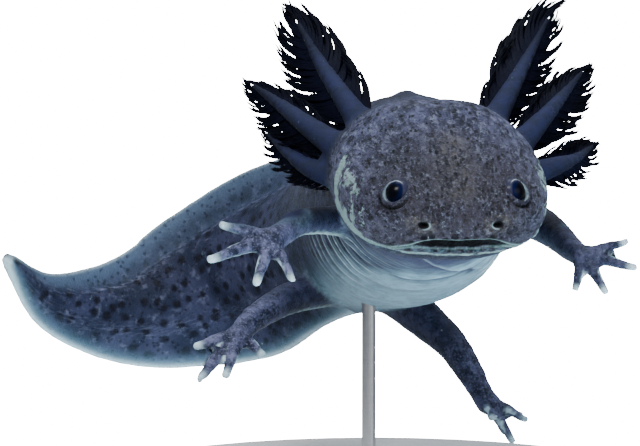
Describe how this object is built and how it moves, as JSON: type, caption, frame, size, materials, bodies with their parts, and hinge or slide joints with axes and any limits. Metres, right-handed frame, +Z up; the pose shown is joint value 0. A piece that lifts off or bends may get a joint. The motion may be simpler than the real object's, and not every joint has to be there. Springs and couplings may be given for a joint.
{
  "type": "axolotl",
  "caption": "Life-size still model of a dark axolotl in mid swim, head to the front and tail swept to its right, on a round base with one slim rod.",
  "frame": {"origin": "centre of the stand base's underside, with the animal's centre of mass above it", "axes": "+Z up; the animal's head faces -Y; its own right side is at -X"},
  "size_m": [0.1506, 0.1851, 0.1111],
  "materials": {
    "skin_back": "smooth moist skin, slate blue with darker spots, pale fin edges and toe tips",
    "skin_head": "smooth moist skin, mottled slate grey with fine dark pits and pale cheek patches",
    "skin_belly": "smooth moist skin, pale blue grey with fine folds",
    "gill": "satin, slate stalks with near black filaments",
    "eye": "clear gloss over a dark navy pupil and a pale ring",
    "stand_base": "satin white",
    "stand_steel": "satin"
  },
  "bodies": {
    "root": {"head": "skin_head", "lower_jaw": "skin_belly", "neck": "skin_belly", "chest": "skin_belly", "trunk": "skin_back", "tail_root": "skin_back", "tail_middle": "skin_back", "tail_end": "skin_back", "arm_right": "skin_back", "hand_right": "skin_back", "arm_left": "skin_back", "hand_left": "skin_back", "leg_right": "skin_back", "foot_right": "skin_back", "leg_left": "skin_back", "foot_left": "skin_back", "eye_right": "eye", "gill_right_1": "gill", "gill_right_2": "gill", "gill_right_3": "gill", "eye_left": "eye", "gill_left_1": "gill", "gill_left_2": "gill", "gill_left_3": "gill", "stand_base": "stand_base", "stand_collar": "stand_steel", "stand_rod": "stand_steel"}
  },
  "joints": []
}
